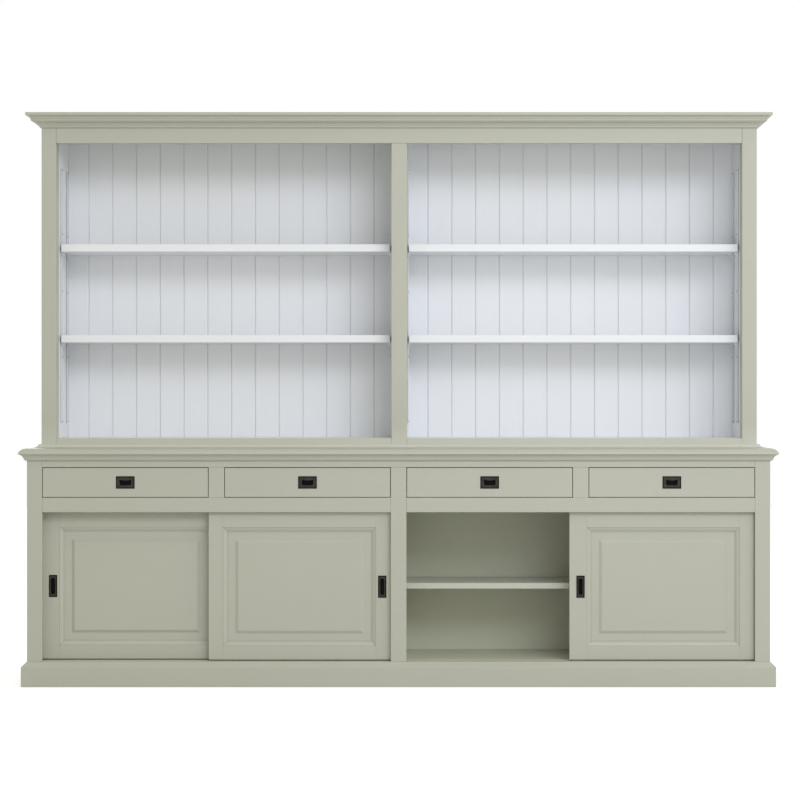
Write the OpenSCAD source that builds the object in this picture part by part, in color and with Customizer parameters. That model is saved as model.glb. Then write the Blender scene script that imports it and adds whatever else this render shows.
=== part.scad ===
// Display cabinet: a base with four drawers and four bypass sliding doors, and an open
// hutch with adjustable shelves in front of V-jointed back boards.
// Millimetres. X runs to the right, Y to the back, Z up; the floor is at Z = 0.

/* [Base carcase] */
// Width over the base sides
base_w = 2840; // [2700:10:2960]
// Depth of the base, from the face frame's front to the back
base_d = 440; // [420:5:500]
// Height of the base up to the underside of the worktop
base_h = 888; // [860:2:930]
// Thickness of the base's side panels
base_side_t = 22; // [18:1:28]
// Thickness of the divider between the two door compartments
divider_t = 20; // [18:1:26]
// Thickness of the base floor
floor_t = 20; // [16:1:26]
// Height of the plinth, and of the floor's top
plinth_h = 96; // [80:1:120]
// Thickness of the plinth boards
plinth_t = 20; // [14:1:24]
// Thickness of the back panel of the base
back_panel_t = 8; // [6:1:12]
// How far the back panel is let in from the rear edges
back_panel_inset = 14; // [8:1:24]

/* [Face frame of the base] */
// Thickness of the base's face frame
frame_t = 20; // [18:1:26]
// Width of the two outer stiles
base_stile_w = 58; // [48:1:70]
// Width of the centre stile
centre_stile_w = 60; // [52:1:76]
// Width of the muntins between two drawers
muntin_w = 60; // [40:1:76]
// Height of the rail over the drawers
top_rail_h = 50; // [44:1:64]
// Height of the rail between drawers and doors
mid_rail_h = 56; // [50:1:70]
// Clear height of the drawer openings
drawer_open_h = 116; // [104:1:136]
// Height of the rail at the foot of the doors
foot_rail_h = 76; // [50:1:78]

/* [Worktop] */
// Thickness of the worktop
worktop_t = 22; // [18:1:30]
// Overhang of the worktop over the front and the sides
worktop_over = 30; // [28:1:40]
// Width of the worn-round nose, measured in from the edge
nose_w = 27; // [18:1:30]
// Height of the moulding under the worktop
cove_h = 26; // [20:1:32]
// Projection of that moulding
cove_out = 27; // [18:1:28]

/* [Drawers] */
// Gap round an inset drawer front
drawer_gap = 2.5; // [1.5:0.5:3]
// Thickness of the drawer fronts
drawer_front_t = 20; // [18:1:24]
// Space left between the drawer boxes and the back panel
drawer_rear_gap = 38; // [24:1:98]
// Height of the drawer boxes
drawer_box_h = 86; // [70:1:90]
// Thickness of the drawer sides
drawer_side_t = 12; // [10:1:16]
// Thickness of the drawer bottoms
drawer_bottom_t = 6; // [4:1:8]
// Height of the bottom over the lower edges of the box
bottom_rise = 8; // [6:0.5:11]
// Depth of the groove that holds the bottom
groove_deep = 5; // [3:0.5:7]
// Number of dovetails at each corner of a drawer box
tail_n = 3; // [2:1:3]
// Width of the thin end of a pin between two dovetails
pin_w = 6; // [4:0.5:8]
// Thickness of the deck under the drawers
deck_t = 16; // [12:1:18]
// Thickness of the drawer runners
runner_t = 6; // [5:1:10]
// Thickness of the partitions behind the muntins
partition_t = 18; // [14:1:22]

/* [Sliding doors] */
// Thickness of a sliding door
door_t = 28; // [24:1:32]
// Space between the front and the rear doors
door_pass = 5; // [4:0.5:8]
// Width hidden behind a stile when a door is shut
door_lap = 9; // [6:1:14]
// Overlap of the two doors of a compartment when shut
door_overlap = 62; // [40:1:80]
// Width of the door stile with the pull
lock_stile_w = 66; // [62:1:80]
// Width of the other door stile
meet_stile_w = 54; // [50:1:70]
// Height of the top rail of a door
door_top_rail_h = 66; // [58:1:80]
// Height of the bottom rail of a door
door_bottom_rail_h = 52; // [48:1:70]
// Gap that the open third door shows beside the frame
open_door_gap = 1.5; // [0.5:0.5:6]
// Width of the moulding round a door panel
stick_w = 18.5; // [12:0.5:22]
// Width of the flat margin round the raised field
margin_w = 28.5; // [18:0.5:40]
// Width of the field's bevel
bevel_w = 11; // [5:0.5:14]
// Height of the raised field over its margin
field_rise = 6.5; // [3:0.5:7.5]
// Depth of the panel's margin below the door's face
panel_depth = 11.5; // [8:0.5:13]
// Thickness of a door panel at its edge
panel_t = 8; // [6:0.5:10]
// Space between a door's lower edge and the floor of the compartment
door_floor_gap = 5; // [3:0.5:7]
// Depth of the grooves in that floor
track_deep = 6; // [4:0.5:10]
// Thickness of the slide that runs in a groove under each door
slide_t = 4; // [3:0.5:6]

/* [Base shelves] */
// Height of the shelf's top over the floor of the compartment
base_shelf_rise = 291; // [200:1:360]
// Thickness of a base shelf
base_shelf_t = 22; // [16:1:26]
// Distance from the frame's front to the shelf's front edge
base_shelf_back = 110; // [100:5:180]

/* [Hutch] */
// How far the hutch's sides stand in from the base's sides
hutch_inset = 33; // [10:1:60]
// Depth of the hutch
hutch_d = 310; // [280:5:340]
// Height of the whole cabinet
total_h = 2205; // [2150:5:2300]
// Thickness of the hutch's face frame
hutch_frame_t = 36; // [28:1:44]
// Width of the hutch's outer stiles
hutch_stile_w = 57; // [52:1:76]
// Width of the hutch's centre stile
hutch_centre_w = 60; // [56:1:76]
// Height of the hutch's top rail, its hidden part included
hutch_top_rail_h = 96; // [90:1:120]
// Height of the hutch's bottom rail
hutch_bottom_rail_h = 37; // [30:1:60]
// Thickness of the roof panel
roof_t = 18; // [14:1:24]
// Depth of the painted returns behind the stiles, from the frame's front
return_d = 64; // [48:1:80]
// Thickness of the white linings inside the hutch
lining_t = 18; // [12:1:22]
// Thickness of the hutch's floor panels
hutch_floor_t = 18; // [14:1:22]
// Thickness of the back boards
board_t = 12; // [10:1:16]
// Pitch of the back boards
board_pitch = 95.4; // [80:0.2:140]
// Width of the first board at the left of each bay
first_board_w = 80; // [40:1:95]
// Depth of the V cut along each board's edge
v_cut = 3.2; // [1:0.2:3.6]

/* [Hutch shelves] */
// Clear height under the lower shelves
lower_space = 373; // [300:1:420]
// Clear height between the shelves
middle_space = 326; // [260:1:380]
// Thickness of a hutch shelf
shelf_t = 29; // [22:1:34]
// Distance from the hutch's front to the shelves' front edges
shelf_back = 70; // [50:5:90]
// Length of the slotted shelf standards
standard_len = 1000; // [900:10:1100]
// Height of the standards' foot over the hutch's opening
standard_foot = 57; // [20:1:80]
// Distance from a shelf's front edge to the front standard's centre
standard_in = 45; // [30:1:60]
// Gap between a shelf's end and the standards
shelf_gap = 2.5; // [1:0.5:5]
// Width of a shelf standard
standard_w = 22; // [16:1:28]
// Thickness of a shelf standard
standard_t = 5; // [3:0.5:8]

/* [Cornice and foot moulding] */
// Height of the cornice
cornice_h = 55; // [50:1:60]
// Projection of the cornice
cornice_out = 54; // [50:1:60]
// Height of the moulding round the hutch's foot
foot_h = 14; // [10:1:20]
// Projection of that moulding at the worktop
foot_out = 25; // [14:1:30]

/* [Pulls] */
// Width of a drawer pull's plate
drawer_pull_w = 71; // [60:1:80]
// Height of a drawer pull's plate
drawer_pull_h = 47; // [42:1:56]
// Width of a drawer pull's finger recess
drawer_cup_w = 44; // [36:1:48]
// Height of a drawer pull's finger recess
drawer_cup_h = 22; // [18:1:26]
// Width of a door pull's plate
door_pull_w = 31.5; // [28:0.5:36]
// Height of a door pull's plate
door_pull_h = 84.5; // [70:0.5:100]
// Width of a door pull's finger recess
door_cup_w = 16; // [12:0.5:20]
// Height of a door pull's finger recess
door_cup_h = 64; // [50:0.5:72]
// Distance from a door's edge to its pull's centre
door_pull_in = 42; // [34:0.5:46]
// Depth of a finger recess below the plate
cup_deep = 10.5; // [8:0.5:12]
// Wall of a finger recess
cup_wall = 1.2; // [1:0.1:2]
// Thickness of a pull's plate
plate_t = 2; // [1.5:0.1:3]

/* [Hidden] */

// Colours of the real finishes
sage = [0.71, 0.71, 0.64];
white = [0.93, 0.94, 0.95];
pine = [0.80, 0.66, 0.46];
bronze = [0.17, 0.15, 0.15];
steel = [0.66, 0.68, 0.70];

// Clearances: between boards of one group, running, and at rest on a seat
joint = 0.2;
running = 1;
seat = 0.3;

// Largest turn between two flats of a moulding's curve, in degrees
flat_turn = 9;
$fn = 48;

// The box of the whole cabinet is centred on X = 0 and Y = 0
full_d = base_d + worktop_over;
front_y = worktop_over - full_d / 2;
back_y = full_d / 2;
frame_back_y = front_y + frame_t;
panel_y = back_y - back_panel_inset - back_panel_t;

// Base, heights from the top down
drawer_top_z = base_h - top_rail_h;
drawer_z = drawer_top_z - drawer_open_h;
door_open_top_z = drawer_z - mid_rail_h;
deck_top_z = drawer_z - runner_t;
deck_z = deck_top_z - deck_t;

// Base, widths from the centre outwards
side_in_x = base_w / 2 - base_side_t;
divider_x = divider_t / 2;
open_in_x = centre_stile_w / 2;
open_out_x = base_w / 2 - base_stile_w;
drawer_open_w = (open_out_x - open_in_x - muntin_w) / 2;
muntin_x = open_in_x + drawer_open_w + muntin_w / 2;

// Doors; the head of the tracks leaves room to lift a door out of its groove
door_into_track = 7;
track_lip = 2 + track_deep;
guide_strip_w = door_pass - 2 * running;
door_w = (open_out_x - open_in_x + 2 * door_lap + door_overlap) / 2;
door_z = plinth_h + door_floor_gap;
door_h = door_open_top_z + door_into_track - door_z;
front_door_y = frame_back_y + running;
rear_door_y = front_door_y + door_t + door_pass;
tracks_back_y = rear_door_y + door_t + running + guide_strip_w;
track_half_w = slide_t / 2 + running;
front_track_y = front_door_y + door_t / 2;
rear_track_y = rear_door_y + door_t / 2;
sill_z = plinth_h - track_deep;
panel_open_w = door_w - lock_stile_w - meet_stile_w;
panel_open_h = door_h - door_top_rail_h - door_bottom_rail_h;
panel_tongue = 8;
pull_z = door_bottom_rail_h + panel_open_h / 2;

// Drawers
box_side_clear = 6;
box_z = drawer_z + seat;
box_w = drawer_open_w - 2 * box_side_clear;
box_y = front_y + drawer_front_t;
drawer_box_d = panel_y - drawer_rear_gap - box_y;
guide_h = 22;
kicker_h = 16;
runner_lap = 18;

// Hutch
hutch_w = base_w - 2 * hutch_inset;
hutch_z = base_h + worktop_t;
hutch_y = back_y - hutch_d;
hutch_frame_back_y = hutch_y + hutch_frame_t;
board_y = back_y - board_t;
roof_z = total_h - roof_t;
opening_top_z = roof_z - hutch_top_rail_h;
opening_z = hutch_z + hutch_bottom_rail_h;
bay_in_x = hutch_centre_w / 2;
bay_out_x = hutch_w / 2 - hutch_stile_w;
bay_w = bay_out_x - bay_in_x;
shelf_low_z = opening_z + lower_space;
shelf_high_z = shelf_low_z + shelf_t + middle_space;
shelf_y = hutch_y + shelf_back;
shelf_end = standard_t + shelf_gap;
standard_z = opening_z + standard_foot;
rear_standard_in = 50;
standard_ys = [shelf_y + standard_in, board_y - rear_standard_in];
return_back_y = hutch_y + return_d;

// A plain board between two corners
module board(low, high) {
    translate(low) cube(high - low);
}

// Points of an arc from p to q that bulges by sag to the left of that direction
function arc(p, q, sag) =
    let (
        chord = norm(q - p),
        along = (q - p) / chord,
        across = [-along[1], along[0]],
        radius = (chord * chord / 4 + sag * sag) / (2 * sag),
        centre = (p + q) / 2 + across * (sag - radius),
        half = asin(chord / 2 / radius),
        steps = ceil(2 * abs(half) / flat_turn)
    )
    [
        for (i = [0 : steps])
        let (turn = half * (2 * i / steps - 1))
        centre + radius * (along * sin(turn) + across * cos(turn))
    ];

// Profiles of the mouldings, as [projection, height] from the lower inner corner
function plinth_profile() =
    [[0, 0], [plinth_t, 0], [plinth_t, plinth_h - plinth_t], [0, plinth_h]];

function cove_profile() =
    let (bead = cove_h * 0.36, fillet = 2)
    concat(
        [[0, 0]],
        arc([1, 0.5], [cove_out * 0.4, bead], -2.5),
        arc([cove_out * 0.44, bead + 1], [cove_out - fillet, cove_h - fillet], 2.5),
        [[cove_out, cove_h], [0, cove_h]]
    );

function nose_profile(depth) =
    concat(
        [[-depth, 0], [0, 0]],
        arc([0, 3], [-nose_w, worktop_t], -5),
        [[-depth, worktop_t]]
    );

function foot_profile() =
    let (top_out = 10, fillet = 2)
    concat(
        [[0, 0], [foot_out, 0]],
        arc([foot_out, fillet], [top_out, foot_h - fillet], 2.5),
        [[top_out, foot_h], [0, foot_h]]
    );

function cornice_profile() =
    let (h = cornice_h, w = cornice_out)
    concat(
        [[0, 0], [1.5, 0]],
        arc([2, 0], [8, h - 47.5], -2.5),
        arc([10, h - 46.5], [w - 26, h - 35], 3),
        [[w - 24.5, h - 34]],
        arc([w - 24.5, h - 33], [w - 18, h - 23.5], -3),
        [[w - 16.5, h - 23]],
        arc([w - 16.5, h - 22], [w - 4, h - 11], 2.5),
        [[w, h - 11], [w, h], [0, h]]
    );

// A moulding mitred round the front and both ends of a box that is w wide and d deep
module mitred_round(profile, w, d, y, z) {
    out = max([for (p = profile) p[0]]);
    high = max([for (p = profile) p[1]]);
    back = y + d;
    translate([0, 0, z]) {
        intersection() {
            translate([-w / 2 - out, y, 0]) rotate([90, 0, 90])
                linear_extrude(w + 2 * out)
                    polygon([for (p = profile) [-p[0], p[1]]]);
            linear_extrude(high)
                polygon([
                    [-w / 2 - out, y - out], [w / 2 + out, y - out],
                    [w / 2 + joint, y + joint], [-w / 2 - joint, y + joint]
                ]);
        }
        for (side = [0, 1]) mirror([side, 0, 0])
            intersection() {
                translate([w / 2, back, 0]) rotate([90, 0, 0])
                    linear_extrude(d + out) polygon(profile);
                linear_extrude(high)
                    polygon([
                        [w / 2, y + 2 * joint], [w / 2 + out, y - out + 2 * joint],
                        [w / 2 + out, back], [w / 2, back]
                    ]);
            }
    }
}

// A board along X and one along Y, crossed, keep a profile on three edges
module nosed_board(w, y_front, y_back, z) {
    translate([0, 0, z]) intersection() {
        translate([-w / 2, y_front, 0]) rotate([90, 0, 90])
            linear_extrude(w)
                polygon([for (p = nose_profile(y_back - y_front)) [-p[0], p[1]]]);
        translate([0, y_back, 0]) rotate([90, 0, 0])
            linear_extrude(y_back - y_front)
                polygon(concat(
                    [for (p = nose_profile(w / 2)) [p[0] + w / 2, p[1]]],
                    [for (i = [len(nose_profile(w / 2)) - 2 : -1 : 1])
                        let (p = nose_profile(w / 2)[i]) [-p[0] - w / 2, p[1]]]
                ));
    }
}

// Base carcase

module plinth() color(sage)
    mitred_round(plinth_profile(), base_w, base_d, front_y, 0);

module base_side(side) color(sage)
    mirror([side, 0, 0])
        board([side_in_x, frame_back_y, 0], [base_w / 2, back_y, base_h]);

module base_divider() color(sage)
    board([-divider_x, frame_back_y, 0], [divider_x, panel_y, base_h]);

// A floor board in each compartment, and a lower sill under the strips of the tracks
module base_floor() color(sage)
    for (side = [0, 1]) mirror([side, 0, 0]) {
        floor_y = rear_track_y + track_half_w;
        board([divider_x, floor_y, plinth_h - floor_t], [side_in_x, panel_y, plinth_h]);
        board(
            [divider_x, frame_back_y, plinth_h - floor_t],
            [side_in_x, floor_y - joint, sill_z]
        );
    }

module base_back() color(sage)
    board([-side_in_x, panel_y, 0], [side_in_x, panel_y + back_panel_t, base_h]);

module base_stiles() color(sage) {
    board([-open_in_x, front_y, 0], [open_in_x, frame_back_y, drawer_top_z]);
    for (side = [0, 1]) mirror([side, 0, 0])
        board([open_out_x, front_y, 0], [base_w / 2, frame_back_y, base_h]);
}

module base_rails() color(sage) {
    board([-open_out_x, front_y, drawer_top_z], [open_out_x, frame_back_y, base_h]);
    for (side = [0, 1]) mirror([side, 0, 0]) {
        board([open_in_x, front_y, door_open_top_z], [open_out_x, frame_back_y, drawer_z]);
        board([open_in_x, front_y, plinth_h - foot_rail_h], [open_out_x, frame_back_y, plinth_h]);
    }
}

module drawer_muntins() color(sage)
    for (side = [0, 1]) mirror([side, 0, 0])
        board(
            [muntin_x - muntin_w / 2, front_y, drawer_z],
            [muntin_x + muntin_w / 2, frame_back_y, drawer_top_z]
        );

module drawer_partitions() color(pine)
    for (side = [0, 1]) mirror([side, 0, 0])
        board(
            [muntin_x - partition_t / 2, frame_back_y, deck_top_z],
            [muntin_x + partition_t / 2, panel_y, base_h]
        );

module drawer_deck() color(sage)
    for (side = [0, 1]) mirror([side, 0, 0])
        board([divider_x, frame_back_y, deck_z], [side_in_x, panel_y, deck_top_z]);

// Runner, guide and kicker at one side of a drawer: the wall is at wall_x, the box at box_x
module runner_set(wall_x, box_x) {
    way = sign(box_x - wall_x);
    reach = box_x + way * runner_lap;
    low_x = min(wall_x, reach);
    high_x = max(wall_x, reach);
    guide_x = box_x - way * running;
    kicker_z = box_z + drawer_box_h + running;
    board([low_x, frame_back_y, deck_top_z], [high_x, panel_y, drawer_z]);
    board(
        [min(wall_x, guide_x), frame_back_y + joint, drawer_z + joint],
        [max(wall_x, guide_x), panel_y, drawer_z + guide_h]
    );
    board([low_x, frame_back_y, kicker_z], [high_x, panel_y, kicker_z + kicker_h]);
}

module drawer_runners() color(pine)
    for (side = [0, 1]) mirror([side, 0, 0]) {
        inner_x = open_in_x + box_side_clear;
        outer_x = muntin_x + muntin_w / 2 + box_side_clear;
        runner_set(divider_x, inner_x);
        runner_set(muntin_x - partition_t / 2, inner_x + box_w);
        runner_set(muntin_x + partition_t / 2, outer_x);
        runner_set(side_in_x, outer_x + box_w);
    }

// Worktop and its moulding

module worktop() color(sage)
    nosed_board(base_w + 2 * worktop_over, front_y - worktop_over, back_y, base_h);

module worktop_cove() color(sage)
    mitred_round(cove_profile(), base_w, base_d, front_y, base_h - cove_h);

// Door tracks: a head board with guide strips above; below, two strips on the sill leave
// two grooves flush with the floor

module door_tracks() color(sage)
    for (side = [0, 1]) mirror([side, 0, 0]) {
        head_z = door_z + door_h + track_lip;
        board([divider_x, frame_back_y, head_z], [side_in_x, tracks_back_y, deck_z]);
        for (y = [rear_door_y - running - guide_strip_w, tracks_back_y - guide_strip_w])
            board(
                [divider_x, y, door_open_top_z],
                [side_in_x, y + guide_strip_w, head_z - joint]
            );
        for (span = [
            [frame_back_y, front_track_y - track_half_w],
            [front_track_y + track_half_w, rear_track_y - track_half_w]
        ])
            board([divider_x, span[0], sill_z], [side_in_x, span[1], plinth_h]);
    }

module door_jambs() color(sage)
    for (side = [0, 1]) mirror([side, 0, 0]) {
        board(
            [divider_x, frame_back_y, plinth_h],
            [open_in_x - door_lap - running, tracks_back_y, door_open_top_z]
        );
        board(
            [open_out_x + door_lap + running, frame_back_y, plinth_h],
            [side_in_x, tracks_back_y, door_open_top_z]
        );
    }

// Base shelves

base_shelf_z = plinth_h + base_shelf_rise - base_shelf_t;
base_shelf_y = front_y + base_shelf_back;
pin_r = 3;
pin_out = 10;
pin_in_front = 40;
pin_in_back = 50;

module base_shelf() color(sage)
    board(
        [divider_x + running, base_shelf_y, base_shelf_z],
        [side_in_x - running, panel_y - running, base_shelf_z + base_shelf_t]
    );

// Each shelf rests on four round pins in the panels
module base_shelf_pins() color(steel)
    for (side = [0, 1], y = [base_shelf_y + pin_in_front, panel_y - pin_in_back])
        mirror([side, 0, 0]) {
            translate([divider_x, y, base_shelf_z - pin_r]) rotate([0, 90, 0])
                cylinder(h = pin_out, r = pin_r);
            translate([side_in_x, y, base_shelf_z - pin_r]) rotate([0, -90, 0])
                cylinder(h = pin_out, r = pin_r);
        }

// Hutch carcase

module upper_side(side) color(sage)
    mirror([side, 0, 0])
        board(
            [bay_out_x + lining_t, hutch_frame_back_y, hutch_z],
            [hutch_w / 2, back_y, roof_z]
        );

module upper_divider() color(sage)
    board(
        [-bay_in_x + lining_t, hutch_frame_back_y, hutch_z],
        [bay_in_x - lining_t, back_y, roof_z]
    );

module upper_linings() color(white)
    for (side = [0, 1], x = [bay_in_x - lining_t, bay_out_x]) mirror([side, 0, 0])
        board([x, return_back_y, hutch_z], [x + lining_t, back_y, roof_z]);

module upper_floor() color(white)
    for (side = [0, 1]) mirror([side, 0, 0])
        board(
            [bay_in_x, hutch_frame_back_y, opening_z - hutch_floor_t],
            [bay_out_x, board_y, opening_z]
        );

module upper_roof() color(sage)
    board([-hutch_w / 2, hutch_y, roof_z], [hutch_w / 2, back_y, total_h]);

// Three stiles, and behind them the painted returns that run back to the linings
module upper_stiles() color(sage) {
    board([-bay_in_x, hutch_y, hutch_z], [bay_in_x, hutch_frame_back_y, opening_top_z]);
    for (side = [0, 1]) mirror([side, 0, 0]) {
        board([bay_out_x, hutch_y, hutch_z], [hutch_w / 2, hutch_frame_back_y, roof_z]);
        for (x = [bay_in_x - lining_t, bay_out_x])
            board(
                [x, hutch_frame_back_y + joint, hutch_z],
                [x + lining_t, return_back_y, roof_z]
            );
    }
}

module upper_rails() color(sage) {
    board([-bay_out_x, hutch_y, opening_top_z], [bay_out_x, hutch_frame_back_y, roof_z]);
    for (side = [0, 1]) mirror([side, 0, 0])
        board([bay_in_x, hutch_y, hutch_z], [bay_out_x, hutch_frame_back_y, opening_z]);
}

// Tongued and grooved boards; the V cuts meet at each joint
tongue_t = 3;
tongue_w = 5;
least_board_w = 30;

module back_board(x0, x1, first, last) {
    mid = board_t / 2;
    half = tongue_t / 2;
    right = last ? [[x1, 0], [x1, board_t]] : [
        [x1 - v_cut, 0], [x1 - joint, v_cut], [x1 - joint, mid - half],
        [x1 + tongue_w, mid - half], [x1 + tongue_w, mid + half],
        [x1 - joint, mid + half], [x1 - joint, board_t]
    ];
    groove = half + joint;
    left = first ? [[x0, board_t], [x0, 0]] : [
        [x0, board_t], [x0, mid + groove], [x0 + tongue_w + joint, mid + groove],
        [x0 + tongue_w + joint, mid - groove], [x0, mid - groove],
        [x0, v_cut], [x0 + v_cut, 0]
    ];
    translate([0, board_y, hutch_z]) linear_extrude(roof_z - hutch_z)
        polygon(concat(right, left));
}

module back_boards() color(white)
    for (bay_x = [-bay_out_x, bay_in_x]) translate([bay_x, 0, 0]) {
        edges = concat(
            [0], [for (x = [first_board_w : board_pitch : bay_w - least_board_w]) x], [bay_w]
        );
        for (i = [0 : len(edges) - 2])
            back_board(edges[i], edges[i + 1], i == 0, i == len(edges) - 2);
    }

// Hutch shelves, standards and clips

module shelf(side, z) color(white)
    mirror([side, 0, 0])
        board(
            [bay_in_x + shelf_end, shelf_y, z],
            [bay_out_x - shelf_end, board_y - running, z + shelf_t]
        );

slot_pitch = 32;
slot_w = 3;
slot_h = 12;

// The foot of a standard stands at Z = 0, its back on the plane X = 0
module standard() difference() {
    translate([0, -standard_w / 2, 0]) cube([standard_t, standard_w, standard_len]);
    for (z = [slot_pitch / 2 : slot_pitch : standard_len - slot_pitch / 2])
        translate([standard_t / 2, -slot_w / 2, z]) cube([standard_t, slot_w, slot_h]);
}

// Places its children at both walls of both bays, at every standard
module at_standards(z)
    for (bay_x = [-bay_out_x, bay_in_x], y = standard_ys)
        for (end = [0, 1])
            translate([bay_x + end * bay_w, y, z]) mirror([end, 0, 0]) children();

module shelf_standards() color(steel)
    at_standards(standard_z) standard();

clip_w = 12;
clip_h = 14;
clip_out = 13;
clip_flange = 3;

// A gusset clip, its top at Z = 0 under the shelf
module clip()
    translate([standard_t, clip_w / 2, 0]) rotate([90, 0, 0]) linear_extrude(clip_w)
        polygon([
            [0, 0], [clip_out, 0], [clip_out, -clip_flange], [clip_flange, -clip_h],
            [0, -clip_h]
        ]);

module shelf_clips() color(steel)
    for (z = [shelf_low_z, shelf_high_z]) at_standards(z) clip();

// Mouldings of the hutch

module cornice() color(sage)
    mitred_round(cornice_profile(), hutch_w, hutch_d, hutch_y, total_h - cornice_h);

module foot_moulding() color(sage)
    mitred_round(foot_profile(), hutch_w, hutch_d, hutch_y, hutch_z);

// Drawers

function drawer_x(n) =
    (n < 3 ? -1 : 1) * (n == 2 || n == 3
        ? open_in_x + drawer_open_w / 2
        : open_out_x - drawer_open_w / 2);

// A bar with round ends along Z, centred, its back at Y = 0
module oblong(w, h, d) {
    translate([-w / 2, 0, -h / 2 + w / 2]) cube([w, d, h - w]);
    for (end = [-1, 1]) translate([0, d, end * (h - w) / 2]) rotate([90, 0, 0])
        cylinder(h = d, r = w / 2);
}

// A block with two round lower corners, centred, its back at Y = 0
module scoop(w, h, d, r) {
    translate([-w / 2, 0, -h / 2 + r]) cube([w, d, h - r]);
    translate([-w / 2 + r, 0, -h / 2]) cube([w - 2 * r, d, h]);
    for (end = [-1, 1]) translate([end * (w / 2 - r), d, -h / 2 + r]) rotate([90, 0, 0])
        cylinder(h = d, r = r);
}

drawer_cup_r = 7;
drawer_pull_z = drawer_z + drawer_open_h / 2;
lip_sag = 3.5;

module drawer_front(n) color(sage)
    difference() {
        board(
            [
                drawer_x(n) - drawer_open_w / 2 + drawer_gap,
                front_y,
                drawer_z + drawer_gap
            ],
            [
                drawer_x(n) + drawer_open_w / 2 - drawer_gap,
                front_y + drawer_front_t,
                drawer_top_z - drawer_gap
            ]
        );
        translate([drawer_x(n), front_y - 1, drawer_pull_z])
            scoop(
                drawer_cup_w + 2 * cup_wall + 2 * joint,
                drawer_cup_h + 2 * cup_wall + 2 * joint,
                cup_deep + cup_wall + joint + 1,
                drawer_cup_r + cup_wall + joint
            );
    }

// The pins of a dovetailed corner stand round these heights, a half pin at each edge
pin_slope = 1 / 6;
pin_heights = [for (i = [0 : tail_n]) i * drawer_box_h / tail_n];
groove_in = drawer_side_t - groove_deep;
groove_z = bottom_rise - joint;
groove_top_z = bottom_rise + drawer_bottom_t + joint;

// Outline of the pin round height z, as [back, up], cut off at the heights low and high
function pin_outline(z, front, back, thin, low, high) =
    [
        for (corner = [[front, -1], [back, -1], [back, 1], [front, 1]])
        let (half = thin / 2 + corner[0] * pin_slope)
        [corner[0], max(low, min(high, z + corner[1] * half))]
    ];

// A side of a drawer box, its outer face on X = 0, with tails at both ends
module tailed_side()
    difference() {
        board([0, 0, 0], [drawer_side_t, drawer_box_d, drawer_box_h]);
        for (end = [0, 1], z = pin_heights)
            translate([-1, end * drawer_box_d, 0]) mirror([0, end, 0])
                rotate([90, 0, 90]) linear_extrude(drawer_side_t + 2)
                    polygon(pin_outline(
                        z, -1, drawer_side_t + joint, pin_w + 2 * joint, -1, drawer_box_h + 1
                    ));
        board(
            [groove_in, groove_in, groove_z],
            [drawer_side_t + 1, drawer_box_d - groove_in, groove_top_z]
        );
    }

// The front or back board of a drawer box, its outer face on Y = 0, with its pins
module pinned_end()
    difference() {
        union() {
            board(
                [drawer_side_t + joint, 0, 0],
                [box_w - drawer_side_t - joint, drawer_side_t, drawer_box_h]
            );
            for (z = pin_heights)
                rotate([90, 0, 90]) linear_extrude(box_w)
                    polygon(pin_outline(z, 0, drawer_side_t, pin_w, 0, drawer_box_h));
        }
        board(
            [groove_in, groove_in, groove_z],
            [box_w - groove_in, drawer_side_t + 1, groove_top_z]
        );
    }

// Two dovetailed sides, a front and a back board, and a bottom held in their grooves
module drawer_box(n) color(pine)
    translate([drawer_x(n) - box_w / 2, box_y, box_z]) {
        for (side = [0, 1])
            translate([side * box_w, 0, 0]) mirror([side, 0, 0]) tailed_side();
        for (end = [0, 1])
            translate([0, end * drawer_box_d, 0]) mirror([0, end, 0]) pinned_end();
        board(
            [groove_in + joint, groove_in + joint, bottom_rise],
            [
                box_w - groove_in - joint,
                drawer_box_d - groove_in - joint,
                bottom_rise + drawer_bottom_t
            ]
        );
    }

// A plate with its four front edges bevelled, centred, its back at Y = 0
module plate(w, h) {
    edge = 1;
    intersection() {
        translate([0, 0, -h / 2]) linear_extrude(h)
            polygon([
                [-w / 2, 0], [-w / 2, -plate_t + edge], [-w / 2 + edge, -plate_t],
                [w / 2 - edge, -plate_t], [w / 2, -plate_t + edge], [w / 2, 0]
            ]);
        translate([-w / 2, 0, 0]) rotate([90, 0, 90]) linear_extrude(w)
            polygon([
                [0, -h / 2], [-plate_t + edge, -h / 2], [-plate_t, -h / 2 + edge],
                [-plate_t, h / 2 - edge], [-plate_t + edge, h / 2], [0, h / 2]
            ]);
    }
}

// A plate whose upper lip hangs into the mouth of a round-cornered cup
module drawer_pull(n) color(bronze)
    translate([drawer_x(n), front_y, drawer_pull_z]) {
        lip_r = (drawer_cup_w * drawer_cup_w / 4 + lip_sag * lip_sag) / (2 * lip_sag);
        difference() {
            union() {
                plate(drawer_pull_w, drawer_pull_h);
                translate([0, -plate_t / 2, 0])
                    scoop(
                        drawer_cup_w + 2 * cup_wall,
                        drawer_cup_h + 2 * cup_wall,
                        plate_t / 2 + cup_deep + cup_wall,
                        drawer_cup_r + cup_wall
                    );
            }
            scoop(drawer_cup_w, drawer_cup_h, cup_deep, drawer_cup_r);
            difference() {
                translate([0, -plate_t - 1, 0])
                    scoop(drawer_cup_w, drawer_cup_h, plate_t + 2, drawer_cup_r);
                translate([0, 2, drawer_cup_h / 2 - lip_sag + lip_r]) rotate([90, 0, 0])
                    cylinder(h = plate_t + 4, r = lip_r, $fn = 96);
            }
        }
    }

// Doors

function door_face_y(n) = n == 2 || n == 3 ? front_door_y : rear_door_y;

function door_left(n) =
    n == 1 ? -open_out_x - door_lap
    : n == 2 ? -open_in_x + door_lap - door_w
    : n == 3 ? open_out_x - open_door_gap - door_w
    : open_out_x + door_lap - door_w;

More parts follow.
